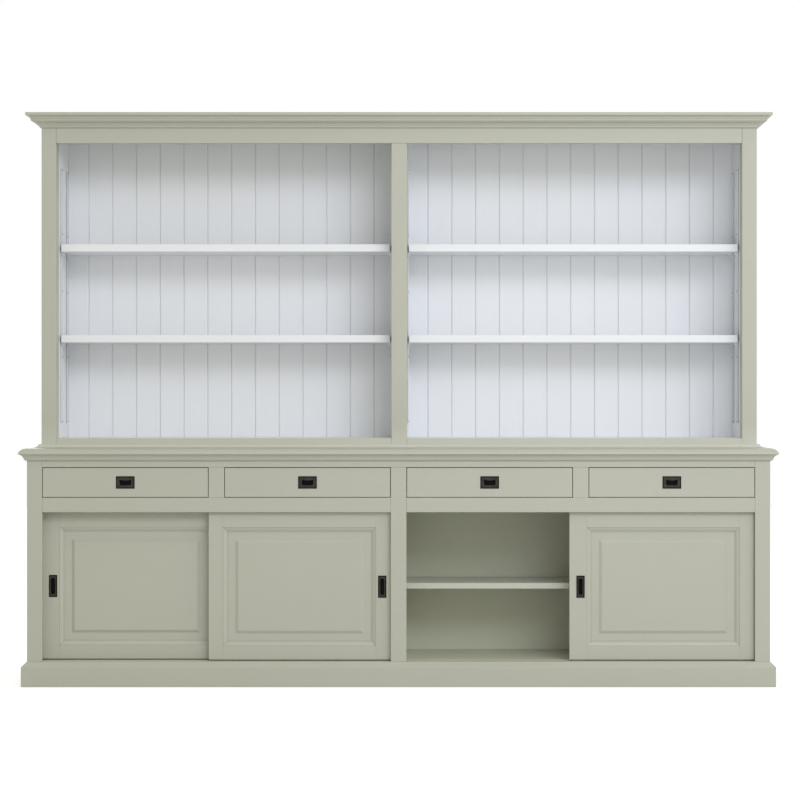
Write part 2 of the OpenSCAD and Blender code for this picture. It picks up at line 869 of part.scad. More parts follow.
// Places a door that is drawn with its pull at the left and its face on Y = 0
module door_at(n) {
    if (n == 1 || n == 3)
        translate([door_left(n), door_face_y(n), door_z]) children();
    else
        translate([door_left(n) + door_w, door_face_y(n), door_z])
            mirror([1, 0, 0]) children();
}

// Section of the moulding round the panel, as [in from the frame, back from the face]
function stick_profile() =
    let (deep = panel_depth - joint, w = stick_w)
    concat(
        [[0, 1.6]],
        arc([0.8, 1.8], [w * 0.8, deep * 0.8], -1),
        [[w * 0.8, deep * 0.9]],
        arc([w * 0.85, deep * 0.91], [w, deep - 0.6], -0.3),
        [[w, deep], [0, deep]]
    );

// One mitred length of that moulding along X, the frame below it
module stick(length) {
    intersection() {
        rotate([90, 0, 90]) linear_extrude(length)
            polygon([for (p = stick_profile()) [p[1], p[0]]]);
        translate([0, panel_depth, 0]) rotate([90, 0, 0]) linear_extrude(panel_depth)
            polygon([
                [2 * joint, 0], [length - 2 * joint, 0],
                [length - stick_w - 2 * joint, stick_w], [stick_w + 2 * joint, stick_w]
            ]);
    }
}

// The slide under a door is let into its lower edge and stops short of the ends
slide_in = 6;
slide_up = 6;

// Two stiles, two rails, the slide and four lengths of moulding
module door_frame(n) color(sage)
    door_at(n) {
        right = lock_stile_w + panel_open_w;
        top = door_bottom_rail_h + panel_open_h;
        difference() {
            union() {
                board([0, 0, 0], [lock_stile_w, door_t, door_h]);
                board([right, 0, 0], [door_w, door_t, door_h]);
                board(
                    [lock_stile_w + joint, 0, 0],
                    [right - joint, door_t, door_bottom_rail_h]
                );
                board([lock_stile_w + joint, 0, top], [right - joint, door_t, door_h]);
            }
            board(
                [
                    lock_stile_w - panel_tongue - joint,
                    panel_depth - joint,
                    door_bottom_rail_h - panel_tongue - joint
                ],
                [
                    right + panel_tongue + joint,
                    panel_depth + panel_t + joint,
                    top + panel_tongue + joint
                ]
            );
            board(
                [slide_in - joint, (door_t - slide_t) / 2 - joint, -1],
                [door_w - slide_in + joint, (door_t + slide_t) / 2 + joint, slide_up + joint]
            );
            translate([door_pull_in, -1, pull_z])
                oblong(
                    door_cup_w + 2 * cup_wall + 2 * joint,
                    door_cup_h + 2 * cup_wall + 2 * joint,
                    cup_deep + cup_wall + joint + 1
                );
        }
        board(
            [slide_in, (door_t - slide_t) / 2, seat - door_floor_gap - track_deep],
            [door_w - slide_in, (door_t + slide_t) / 2, slide_up]
        );
        translate([lock_stile_w, 0, door_bottom_rail_h + joint]) stick(panel_open_w);
        translate([right, 0, top - joint]) rotate([0, 180, 0]) stick(panel_open_w);
        translate([lock_stile_w + joint, 0, top]) rotate([0, 90, 0]) stick(panel_open_h);
        translate([right - joint, 0, door_bottom_rail_h]) rotate([0, -90, 0])
            stick(panel_open_h);
    }

// A panel with a raised and bevelled field
module door_panel(n) color(sage)
    door_at(n) {
        field_w = panel_open_w - 2 * (stick_w + margin_w);
        field_h = panel_open_h - 2 * (stick_w + margin_w);
        mid_x = lock_stile_w + panel_open_w / 2;
        translate([mid_x, panel_depth, pull_z]) {
            board(
                [-panel_open_w / 2 - panel_tongue, 0, -panel_open_h / 2 - panel_tongue],
                [panel_open_w / 2 + panel_tongue, panel_t, panel_open_h / 2 + panel_tongue]
            );
            intersection() {
                translate([0, 0, -field_h / 2]) linear_extrude(field_h)
                    polygon([
                        [-field_w / 2, 1], [-field_w / 2, 0],
                        [-field_w / 2 + bevel_w, -field_rise],
                        [field_w / 2 - bevel_w, -field_rise],
                        [field_w / 2, 0], [field_w / 2, 1]
                    ]);
                translate([-field_w / 2, 0, 0]) rotate([90, 0, 90])
                    linear_extrude(field_w)
                        polygon([
                            [1, -field_h / 2], [0, -field_h / 2],
                            [-field_rise, -field_h / 2 + bevel_w],
                            [-field_rise, field_h / 2 - bevel_w],
                            [0, field_h / 2], [1, field_h / 2]
                        ]);
            }
        }
    }

module door_pull(n) color(bronze)
    door_at(n) translate([door_pull_in, 0, pull_z]) {
        difference() {
            union() {
                plate(door_pull_w, door_pull_h);
                translate([0, -plate_t / 2, 0])
                    oblong(
                        door_cup_w + 2 * cup_wall,
                        door_cup_h + 2 * cup_wall,
                        plate_t / 2 + cup_deep + cup_wall
                    );
            }
            translate([0, -plate_t - 1, 0])
                oblong(door_cup_w, door_cup_h, plate_t + 1 + cup_deep);
        }
    }

plinth();
base_side(1);  // base_side_left
base_side(0);  // base_side_right
base_divider();
base_floor();
base_back();
base_stiles();
base_rails();
drawer_muntins();
drawer_partitions();
drawer_deck();
drawer_runners();
door_tracks();
door_jambs();
mirror([1, 0, 0]) base_shelf();  // base_shelf_left
base_shelf();  // base_shelf_right
base_shelf_pins();
worktop();
worktop_cove();
upper_side(1);  // upper_side_left
upper_side(0);  // upper_side_right
upper_divider();
upper_linings();
upper_floor();
upper_roof();
upper_stiles();
upper_rails();
back_boards();
shelf(1, shelf_high_z);  // shelf_left_upper
shelf(1, shelf_low_z);  // shelf_left_lower
shelf(0, shelf_high_z);  // shelf_right_upper
shelf(0, shelf_low_z);  // shelf_right_lower
shelf_standards();
shelf_clips();
cornice();
foot_moulding();
drawer_front(1);  // drawer_1_front
drawer_box(1);  // drawer_1_box
drawer_pull(1);  // drawer_1_pull
drawer_front(2);  // drawer_2_front
drawer_box(2);  // drawer_2_box
drawer_pull(2);  // drawer_2_pull
drawer_front(3);  // drawer_3_front
drawer_box(3);  // drawer_3_box
drawer_pull(3);  // drawer_3_pull
drawer_front(4);  // drawer_4_front
drawer_box(4);  // drawer_4_box
drawer_pull(4);  // drawer_4_pull
door_frame(1);  // door_1_frame
door_panel(1);  // door_1_panel
door_pull(1);  // door_1_pull
door_frame(2);  // door_2_frame
door_panel(2);  // door_2_panel
door_pull(2);  // door_2_pull
door_frame(3);  // door_3_frame
door_panel(3);  // door_3_panel
door_pull(3);  // door_3_pull
door_frame(4);  // door_4_frame
door_panel(4);  // door_4_panel
door_pull(4);  // door_4_pull
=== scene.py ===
import math
import bmesh
import bpy
from mathutils import Matrix, Vector


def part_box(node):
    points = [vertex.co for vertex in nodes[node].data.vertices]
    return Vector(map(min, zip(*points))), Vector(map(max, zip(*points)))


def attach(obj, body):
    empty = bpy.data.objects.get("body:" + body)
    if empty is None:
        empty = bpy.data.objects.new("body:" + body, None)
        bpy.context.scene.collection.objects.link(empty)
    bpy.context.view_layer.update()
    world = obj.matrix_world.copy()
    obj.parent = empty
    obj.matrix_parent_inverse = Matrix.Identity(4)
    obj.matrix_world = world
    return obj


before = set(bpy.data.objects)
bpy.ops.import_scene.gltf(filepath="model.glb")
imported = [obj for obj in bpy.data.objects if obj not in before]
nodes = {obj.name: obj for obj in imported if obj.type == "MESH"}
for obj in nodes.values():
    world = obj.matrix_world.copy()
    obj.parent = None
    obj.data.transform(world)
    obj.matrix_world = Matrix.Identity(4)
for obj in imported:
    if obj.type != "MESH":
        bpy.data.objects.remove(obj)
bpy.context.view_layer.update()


def say(stage):
    print("cabinet:", stage)


def tone(shade):  # red, green and blue, 0 to 255 as seen on a screen, to scene linear
    out = []
    for value in shade:
        v = value / 255
        out.append(v / 12.92 if v <= 0.04045 else ((v + 0.055) / 1.055) ** 2.4)
    return (*out, 1)


def addObject(name, data):
    made = bpy.data.objects.new(name, data)
    bpy.context.scene.collection.objects.link(made)
    return made


# camera: level, well back, a little to the right of the middle
camera = {"right": 0.150, "back": 8.805, "eye": 1.095, "lens": 101.3, "sideShift": -0.0473,
          "sensor": 36, "farthest": 60}

lens = bpy.data.cameras.new("camera")
lens.sensor_width = camera["sensor"]
lens.lens = camera["lens"]
lens.shift_x = camera["sideShift"]
lens.clip_end = camera["farthest"]
cameraObject = addObject("camera", lens)
cameraObject.location = (camera["right"], -camera["back"], camera["eye"])
cameraObject.rotation_euler = (math.pi / 2, 0, 0)
bpy.context.scene.camera = cameraObject
say("camera set")

noiseCore = (0.3, 0.7)  # most of a noise's values lie between these


class Wiring:  # short hand for the nodes of one tree
    def __init__(self, tree):
        self.tree = tree

    def add(self, kind, inputs=None, **settings):
        node = self.tree.nodes.new(kind)
        for key, value in settings.items():
            setattr(node, key, value)
        for key, value in (inputs or {}).items():
            self.feed(node.inputs[key], value)
        return node

    def feed(self, socket, value):
        if isinstance(value, bpy.types.NodeSocket):
            self.tree.links.new(value, socket)
        else:
            socket.default_value = value

    def math(self, operation, a, b=0.0, clamp=False, c=None):
        node = self.add("ShaderNodeMath", {0: a, 1: b}, operation=operation, use_clamp=clamp)
        if c is not None:
            self.feed(node.inputs[2], c)
        return node.outputs[0]

    def vector(self, operation, a, b):
        node = self.add("ShaderNodeVectorMath", {0: a, 1: b}, operation=operation)
        return node.outputs["Value"] if operation == "DOT_PRODUCT" else node.outputs[0]

    def spread(self, value, low, high, outLow=0.0, outHigh=1.0):
        return self.add("ShaderNodeMapRange", {
            "Value": value, "From Min": low, "From Max": high,
            "To Min": outLow, "To Max": outHigh}, clamp=True).outputs[0]

    def sway(self, noise, reach):  # a noise as a value from -reach to reach
        return self.spread(noise, *noiseCore, -reach, reach)

    def mixColor(self, share, a, b):
        return self.add("ShaderNodeMix", {0: share, 6: a, 7: b}, data_type="RGBA").outputs[2]

    def noise(self, spot, scale, detail, rough):
        return self.add("ShaderNodeTexNoise", {
            "Vector": spot, "Scale": scale, "Detail": detail, "Roughness": rough}).outputs[0]

    def position(self):
        return self.add("ShaderNodeTexCoord").outputs["Object"]

    def parts(self, spot):
        return self.add("ShaderNodeSeparateXYZ", {0: spot}).outputs


number, color, vector = "NodeSocketFloat", "NodeSocketColor", "NodeSocketVector"


def newGroup(name, inputs, outputs):
    tree = bpy.data.node_groups.new(name, "ShaderNodeTree")
    for label, kind, value in inputs:
        tree.interface.new_socket(label, in_out="INPUT", socket_type=kind).default_value = value
    for label, kind in outputs:
        tree.interface.new_socket(label, in_out="OUTPUT", socket_type=kind)
    wire = Wiring(tree)
    return tree, wire, wire.add("NodeGroupInput").outputs, wire.add("NodeGroupOutput").inputs


rolledPaint = {
    "clouds": {"scale": 2.3, "detail": 3.0, "rough": 0.55},
    "boards": {"scale": 18.0, "detail": 3.0, "rough": 0.6},
    "streaks": {"scale": 170.0, "detail": 3.0, "rough": 0.6},
    "orangePeel": {"scale": 620.0, "detail": 1.0, "rough": 0.5},
    "cloudTone": 0.55, "boardTone": 0.45, "cloudRough": 0.04, "streakRough": 0.05,
    "streakHeight": 0.8,
}


def makeRolledPaint():  # satin paint laid on with a roller and drawn out along each board
    tree, wire, given, out = newGroup("rolledPaint", [
        ("Color", color, (0.5, 0.5, 0.5, 1)),
        ("Board Stretch", vector, (1.0, 1.0, 1.0)),
        ("Tone Spread", number, 0.02),
        ("Stipple", number, 0.5),
        ("Gloss Base", number, 0.42),
    ], [("Color", color), ("Roughness", number), ("Height", number)])
    place = wire.position()
    drawn = wire.vector("MULTIPLY", place, given["Board Stretch"])
    clouds = wire.noise(place, **rolledPaint["clouds"])
    boards = wire.noise(drawn, **rolledPaint["boards"])
    streaks = wire.noise(drawn, **rolledPaint["streaks"])
    orangePeel = wire.noise(place, **rolledPaint["orangePeel"])
    drift = wire.math("ADD", wire.math("MULTIPLY", clouds, rolledPaint["cloudTone"]),
                      wire.math("MULTIPLY", boards, rolledPaint["boardTone"]))
    gain = wire.math("MULTIPLY_ADD", wire.sway(drift, 1.0), given["Tone Spread"], c=1.0)
    shade = wire.add("ShaderNodeVectorMath", {0: given["Color"], "Scale": gain},
                     operation="SCALE")
    wire.feed(out["Color"], shade.outputs[0])
    uneven = wire.math("ADD", wire.sway(streaks, rolledPaint["streakRough"]),
                       wire.sway(clouds, rolledPaint["cloudRough"]))
    wire.feed(out["Roughness"], wire.math("ADD", given["Gloss Base"], uneven, clamp=True))
    skin = wire.math("MULTIPLY", orangePeel, given["Stipple"])
    wire.feed(out["Height"], wire.math(
        "MULTIPLY_ADD", streaks, rolledPaint["streakHeight"], c=skin))
    return tree


edgeWearAndHighlight = {
    "samples": 4, "lean": (0.995, 0.86),
    "patches": {"scale": 35.0, "detail": 4.0, "rough": 0.65}, "patchRange": (0.35, 0.65),
}


def makeEdgeWearAndHighlight():  # mask of outer edges and corners, for rubbed paint, and a painted highlight on a pull cup's lip
    tree, wire, given, out = newGroup("edgeWearAndHighlight", [
        ("Width", number, 0.002),
        ("Patchiness", number, 0.6),
    ], [("Mask", number)])
    rounded = wire.add("ShaderNodeBevel", {"Radius": given["Width"]},
                       samples=edgeWearAndHighlight["samples"]).outputs[0]
    flat = wire.add("ShaderNodeNewGeometry").outputs["Normal"]
    edge = wire.spread(wire.vector("DOT_PRODUCT", rounded, flat), *edgeWearAndHighlight["lean"])
    patches = wire.noise(wire.position(), **edgeWearAndHighlight["patches"])
    lost = wire.math("MULTIPLY", given["Patchiness"],
                     wire.spread(patches, *edgeWearAndHighlight["patchRange"]))
    wire.feed(out["Mask"], wire.math(
        "MULTIPLY", edge, wire.math("SUBTRACT", 1.0, lost), clamp=True))
    return tree


hollowShade = {
    "samples": 6, "openness": (0.95, 0.35),
    "patches": {"scale": 24.0, "detail": 3.0, "rough": 0.6}, "patchRange": (0.25, 0.75),
    "thinnest": 0.7,
}


def makeHollowShade():  # mask of painted shade in inner corners, moulding hollows and joints between boards
    tree, wire, given, out = newGroup("hollowShade", [
        ("Reach", number, 0.02),
        ("Strength", number, 0.4),
    ], [("Mask", number)])
    light = wire.add("ShaderNodeAmbientOcclusion", {"Distance": given["Reach"]},
                     samples=hollowShade["samples"])
    shut = wire.spread(light.outputs["AO"], *hollowShade["openness"])
    patches = wire.noise(wire.position(), **hollowShade["patches"])
    uneven = wire.spread(patches, *hollowShade["patchRange"], hollowShade["thinnest"], 1.0)
    depth = wire.math("MULTIPLY", shut, uneven)
    wire.feed(out["Mask"], wire.math("MULTIPLY", depth, given["Strength"], clamp=True))
    return tree


pineGrain = {
    "slow": (4.0, 4.0, 0.9), "across": (1.0, 1.0, 0.0), "fine": (1.0, 1.0, 0.03),
    "drift": {"scale": 1.6, "detail": 2.0, "rough": 0.45},
    "fibres": {"scale": 900.0, "detail": 3.0, "rough": 0.6},
    "tints": {"scale": 0.9, "detail": 1.0, "rough": 0.5},
    "lateRise": (0.35, 0.9), "lateFall": (1.0, 0.94), "lateShade": 0.62, "lateHeight": 0.4,
    "fibreRange": (0.35, 0.7), "fibreShade": 0.25, "fibreHeight": 0.6,
    "tintRange": (0.35, 0.65), "tintShade": (-0.1, 0.12), "roughness": (0.44, 0.6),
}


def makePineGrain():  # growth rings round a pith that runs along Place's Z
    tree, wire, given, out = newGroup("pineGrain", [
        ("Place", vector, (0.0, 0.0, 0.0)),
        ("Light", color, (0.7, 0.5, 0.3, 1)),
        ("Dark", color, (0.45, 0.27, 0.12, 1)),
        ("Ring Width", number, 0.004),
        ("Waviness", number, 0.02),
    ], [("Color", color), ("Roughness", number), ("Height", number)])
    slow, across, fine = (wire.vector("MULTIPLY", given["Place"], pineGrain[key])
                          for key in ("slow", "across", "fine"))
    radius = wire.add("ShaderNodeVectorMath", {0: across}, operation="LENGTH").outputs["Value"]
    drift = wire.noise(slow, **pineGrain["drift"])
    wave = wire.math("MULTIPLY", drift, given["Waviness"])
    rings = wire.math("DIVIDE", wire.math("ADD", radius, wave), given["Ring Width"])
    band = wire.math("FRACT", rings)
    late = wire.math("MULTIPLY", wire.spread(band, *pineGrain["lateRise"]),
                     wire.spread(band, *pineGrain["lateFall"]))
    fibres = wire.noise(fine, **pineGrain["fibres"])
    tints = wire.noise(slow, **pineGrain["tints"])
    dark = wire.math("MULTIPLY_ADD", late, pineGrain["lateShade"], c=wire.spread(
        fibres, *pineGrain["fibreRange"], 0.0, pineGrain["fibreShade"]))
    share = wire.math("ADD", dark, wire.spread(
        tints, *pineGrain["tintRange"], *pineGrain["tintShade"]), clamp=True)
    wire.feed(out["Color"], wire.mixColor(share, given["Light"], given["Dark"]))
    wire.feed(out["Roughness"], wire.spread(fibres, *noiseCore, *pineGrain["roughness"]))
    wire.feed(out["Height"], wire.math(
        "MULTIPLY_ADD", fibres, pineGrain["fibreHeight"],
        c=wire.math("MULTIPLY", late, pineGrain["lateHeight"])))
    return tree


worktopBounce = {"clearOfTop": 0.0005, "falloff": 1.5}


def makeWorktopBounce():  # mask of painted light bounced up from the worktop: less, the higher above it
    tree, wire, given, out = newGroup("worktopBounce", [
        ("Foot", number, 0.9),
        ("Full", number, 0.02),
        ("Reach", number, 0.1),
    ], [("Mask", number)])
    height = wire.math("SUBTRACT", wire.parts(wire.position())["Z"], given["Foot"])
    above = wire.math("GREATER_THAN", height, worktopBounce["clearOfTop"])
    near = wire.spread(height, given["Full"], given["Reach"], 1.0, 0.0)
    wire.feed(out["Mask"], wire.math(
        "MULTIPLY", above, wire.math("POWER", near, worktopBounce["falloff"])))
    return tree


plateRim = {"ragged": {"scale": 260.0, "detail": 3.0, "rough": 0.6}, "wander": 0.5, "fade": 1.5}


def makePlateRim():  # mask of the outer band of a small upright plate, where its rim is darkened with painted shade
    tree, wire, given, out = newGroup("plateRim", [
        ("Center", vector, (0.0, 0.0, 0.0)),
        ("Half Width", number, 0.03),
        ("Half Height", number, 0.02),
        ("Band", number, 0.003),
    ], [("Mask", number)])
    place = wire.position()
    spot = wire.parts(wire.vector("SUBTRACT", place, given["Center"]))
    inX = wire.math("SUBTRACT", given["Half Width"], wire.math("ABSOLUTE", spot["X"]))
    inZ = wire.math("SUBTRACT", given["Half Height"], wire.math("ABSOLUTE", spot["Z"]))
    ragged = wire.math("MULTIPLY", wire.noise(place, **plateRim["ragged"]), given["Band"])
    inside = wire.math("ADD", wire.math("MINIMUM", inX, inZ),
                       wire.math("MULTIPLY", ragged, plateRim["wander"]))
    faded = wire.math("MULTIPLY", given["Band"], plateRim["fade"])
    wire.feed(out["Mask"], wire.spread(inside, given["Band"], faded, 1.0, 0.0))
    return tree


metalSkin = {
    "speckle": {"detail": 4.0, "rough": 0.7}, "speckleRough": 0.08,
    "blotches": {"scale": 60.0, "detail": 3.0, "rough": 0.6}, "blotchRange": (0.42, 0.75),
    "mostStained": 0.5,
}


def makeAgedMetal():  # metal with a fine cast or rolled grain, stained here and there
    tree, wire, given, out = newGroup("agedMetal", [
        ("Face", color, (0.02, 0.018, 0.018, 1)),
        ("Stain", color, (0.12, 0.11, 0.10, 1)),
        ("Edge Color", color, (0.12, 0.11, 0.10, 1)),
        ("Edge", number, 0.0),
        ("Gloss Base", number, 0.4),
        ("Speckle Scale", number, 420.0),
    ], [("Color", color), ("Roughness", number), ("Height", number)])
    place = wire.position()
    speckle = wire.noise(place, given["Speckle Scale"], **metalSkin["speckle"])
    stain = wire.spread(wire.noise(place, **metalSkin["blotches"]),
                        *metalSkin["blotchRange"], 0.0, metalSkin["mostStained"])
    shown = wire.mixColor(stain, given["Face"], given["Stain"])
    # the edge colour is painted shade on a plate's rim, a painted highlight on a cup's lip, and
    # a lighter edge on the shelf hardware and screws
    wire.feed(out["Color"], wire.mixColor(given["Edge"], shown, given["Edge Color"]))
    uneven = wire.sway(speckle, metalSkin["speckleRough"])
    wire.feed(out["Roughness"], wire.math("ADD", given["Gloss Base"], uneven, clamp=True))
    wire.feed(out["Height"], speckle)
    return tree


groups = {
    "paint": makeRolledPaint(),
    "edge": makeEdgeWearAndHighlight(),
    "paintedShade": makeHollowShade(),
    "pine": makePineGrain(),
    "metal": makeAgedMetal(),
    "rim": makePlateRim(),
    "bounceLight": makeWorktopBounce(),
}
say("shader groups built")


def newMaterial(name):
    material = bpy.data.materials.new(name)
    material.use_nodes = True
    material.node_tree.nodes.clear()
    wire = Wiring(material.node_tree)
    surface = wire.add("ShaderNodeBsdfPrincipled")
    wire.add("ShaderNodeOutputMaterial", {"Surface": surface.outputs[0]})
    return material, wire, surface.inputs


def effect(wire, key, values):
    return wire.add("ShaderNodeGroup", values, node_tree=groups[key]).outputs


def bump(wire, surface, height, distance):
    wire.feed(surface["Normal"], wire.add("ShaderNodeBump", {
        "Height": height, "Distance": distance, "Strength": 1.0}).outputs[0])


# satin paint: outside, on the base's shelves, inside the base, and the hutch's white; the
# shelves' and the inside's paints are the sage made lighter, painted light that lifts the shade
# they stand in
# in each paint, the colours laid into hollows and into joints by the masks below are painted
# shade
paints = {
    "sage": {"color": (180, 181, 167), "rubbed": (198, 199, 188), "paintedShade": (132, 133, 114),
             "gloss": 0.42, "toneSpread": 0.016, "edge": 0.3, "paintedShadeStrength": 0.4,
             "reach": 0.005, "joint": (112, 112, 94), "jointStrength": 0.8,
             "bounceLight": (196, 197, 184), "bounceFull": 0.02, "bounceReach": 0.115,
             "jointLeftWiped": 0.4},
    # painted light: the sage made lighter for the base's shelves, which sit in shade
    "shelf": {"color": (192, 193, 180), "rubbed": (203, 204, 194), "paintedShade": (150, 151, 134),
              "gloss": 0.42, "toneSpread": 0.016, "edge": 0.2, "paintedShadeStrength": 0.05,
              "reach": 0.005, "joint": (128, 128, 110), "jointStrength": 0.25},
    # painted light: the sage made lighter inside the base, and a little yellower like light
    # bounced between its walls
    "inside": {"color": (196, 198, 179), "rubbed": (204, 206, 189), "paintedShade": (128, 129, 108),
               "gloss": 0.46, "toneSpread": 0.02, "edge": 0.2, "paintedShadeStrength": 0.1,
               "reach": 0.015, "joint": (104, 104, 86), "jointStrength": 0.6},
    "white": {"color": (230, 232, 235), "rubbed": (240, 242, 245), "paintedShade": (196, 197, 198),
              "gloss": 0.45, "toneSpread": 0.012, "edge": 0.3, "paintedShadeStrength": 0.12,
              "reach": 0.008, "joint": (168, 169, 170), "jointStrength": 0.3},
}
# what all the paints have in common
coat = {"stipple": 0.6, "edgeWidth": 0.0025, "patchiness": 0.5, "jointReach": 0.002,
        "hollowRough": 0.2, "specular": 0.4, "depth": 0.00008}
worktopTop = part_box("worktop")[1][2]
stretches = {"X": (0.06, 1.0, 1.0), "Y": (1.0, 0.06, 1.0), "Z": (1.0, 1.0, 0.06)}


def paintedWood(family, axis):
    look = paints[family]
    material, wire, surface = newMaterial(f"{family}PaintAlong{axis}")
    hue = tone(look["color"])
    paintedShade = effect(wire, "paintedShade", {
        "Reach": look["reach"], "Strength": look["paintedShadeStrength"]})["Mask"]
    joint = effect(wire, "paintedShade", {  # painted shade in the open joints between boards
        "Reach": coat["jointReach"], "Strength": look["jointStrength"]})["Mask"]
    if "bounceLight" in look:  # painted light just above the worktop, as if bounced up from it, with less painted shade there
        bounceLight = effect(wire, "bounceLight", {
            "Foot": worktopTop, "Full": look["bounceFull"], "Reach": look["bounceReach"]})["Mask"]
        hue = wire.mixColor(bounceLight, hue, tone(look["bounceLight"]))
        paintedShade = wire.math("MULTIPLY", paintedShade, wire.math("SUBTRACT", 1.0, bounceLight))
        joint = wire.math("MULTIPLY", joint, wire.spread(
            bounceLight, 0.0, 1.0, 1.0, look["jointLeftWiped"]))
    paint = effect(wire, "paint", {
        "Color": hue, "Board Stretch": stretches[axis], "Tone Spread": look["toneSpread"],
        "Stipple": coat["stipple"], "Gloss Base": look["gloss"]})
    edge = effect(wire, "edge", {
        "Width": coat["edgeWidth"], "Patchiness": coat["patchiness"]})["Mask"]
    rubbed = wire.mixColor(
        wire.math("MULTIPLY", edge, look["edge"]), paint["Color"], tone(look["rubbed"]))
    dusted = wire.mixColor(paintedShade, rubbed, tone(look["paintedShade"]))
    wire.feed(surface["Base Color"], wire.mixColor(joint, dusted, tone(look["joint"])))
    wire.feed(surface["Roughness"], wire.math(
        "MULTIPLY_ADD", paintedShade, coat["hollowRough"], clamp=True, c=paint["Roughness"]))
    surface["Specular IOR Level"].default_value = coat["specular"]
    bump(wire, surface, paint["Height"], coat["depth"])
    return material


# clear finished pine of the drawer boxes; the pith lies below each box
woods = {
    "pine": {"light": (228, 204, 168), "dark": (198, 163, 121), "paintedShade": (134, 108, 78),
             "ringWidth": 0.0042, "waviness": 0.035, "pithHeight": 0.61,
             "drawerPitch": 0.696, "reach": 0.01, "paintedShadeStrength": 0.4, "depth": 0.0001},
}


def clearWood(family, axis):
    look = woods[family]
    material, wire, surface = newMaterial(f"{family}Along{axis}")
    spot = wire.parts(wire.position())
    half = look["drawerPitch"] / 2
    boxed = wire.math("WRAP", wire.math("SUBTRACT", spot["X"], half), half, c=-half)
    high = wire.math("SUBTRACT", spot["Z"], look["pithHeight"])
    order = {"X": (spot["Y"], high, spot["X"]), "Y": (boxed, high, spot["Y"]),
             "Z": (boxed, spot["Y"], spot["Z"])}[axis]
    turned = wire.add("ShaderNodeCombineXYZ", dict(enumerate(order))).outputs[0]
    wood = effect(wire, "pine", {
        "Place": turned, "Light": tone(look["light"]), "Dark": tone(look["dark"]),
        "Ring Width": look["ringWidth"], "Waviness": look["waviness"]})
    # painted shade in the boxes' inner corners
    paintedShade = effect(wire, "paintedShade", {
        "Reach": look["reach"], "Strength": look["paintedShadeStrength"]})["Mask"]
    wire.feed(surface["Base Color"], wire.mixColor(paintedShade, wood["Color"], tone(look["paintedShade"])))
    wire.feed(surface["Roughness"], wood["Roughness"])
    bump(wire, surface, wood["Height"], look["depth"])
    return material


# metals: the pulls' plates, the cups behind them, shelf hardware and its screws
metals = {
    # the plate's dark edge colour is painted shade on its bevelled rim
    "plate": {"face": (60, 51, 49), "stain": (84, 79, 75), "edge": (5, 4, 4),
              "band": 0.0040, "gloss": 0.46, "grain": 420.0, "metallic": 0.1,
              "specular": 0.10, "depth": 0.00006},
    # the cup's near-black face is painted shade in the pull's recess, and its light edge colour
    # a painted highlight on the lip
    "cup": {"face": (4, 4, 5), "stain": (9, 8, 9), "edge": (92, 88, 92),
            "edgeWidth": 0.0014, "patchiness": 0.35, "gloss": 0.4, "grain": 420.0,
            "metallic": 0.0, "specular": 0.08, "depth": 0.00005},
    "zinc": {"face": (224, 227, 231), "stain": (208, 212, 217), "edge": (232, 235, 238),
             "edgeWidth": 0.0006, "patchiness": 0.35, "gloss": 0.42, "grain": 300.0,
             "metallic": 0.12, "specular": 0.5, "depth": 0.00003},
    "screw": {"face": (96, 98, 102), "stain": (70, 70, 72), "edge": (150, 152, 156),
              "edgeWidth": 0.0003, "patchiness": 0.35, "gloss": 0.36, "grain": 600.0,
              "metallic": 0.6, "specular": 0.5, "depth": 0.00002},
}


def agedMetal(family, pull=""):  # a plate's dark rim, painted shade on its bevelled border, is laid out from its own pull's box
    look = metals[family]
    material, wire, surface = newMaterial(f"{family}Metal{pull.title().replace('_', '')}")
    if pull:
        low, high = (Vector(corner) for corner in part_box(pull))
        half = (high - low) / 2
        edge = effect(wire, "rim", {"Center": (low + high) / 2, "Half Width": half.x,
                                    "Half Height": half.z, "Band": look["band"]})["Mask"]
    else:
        edge = effect(wire, "edge", {
            "Width": look["edgeWidth"], "Patchiness": look["patchiness"]})["Mask"]
    metal = effect(wire, "metal", {
        "Face": tone(look["face"]), "Stain": tone(look["stain"]),
        "Edge Color": tone(look["edge"]), "Edge": edge, "Gloss Base": look["gloss"],
        "Speckle Scale": look["grain"]})
    wire.feed(surface["Base Color"], metal["Color"])
    wire.feed(surface["Roughness"], metal["Roughness"])
    surface["Metallic"].default_value = look["metallic"]
    surface["Specular IOR Level"].default_value = look["specular"]
    bump(wire, surface, metal["Height"], look["depth"])
    return material


makers = ((paints, paintedWood), (woods, clearWood), (metals, agedMetal))
finishes = {}


def finish(family, detail=""):  # detail: the grain's axis, or the pull that a plate is on
    key = family + detail
    if key not in finishes:
        maker = next(maker for looks, maker in makers if family in looks)
        finishes[key] = maker(family, detail)
    return finishes[key]


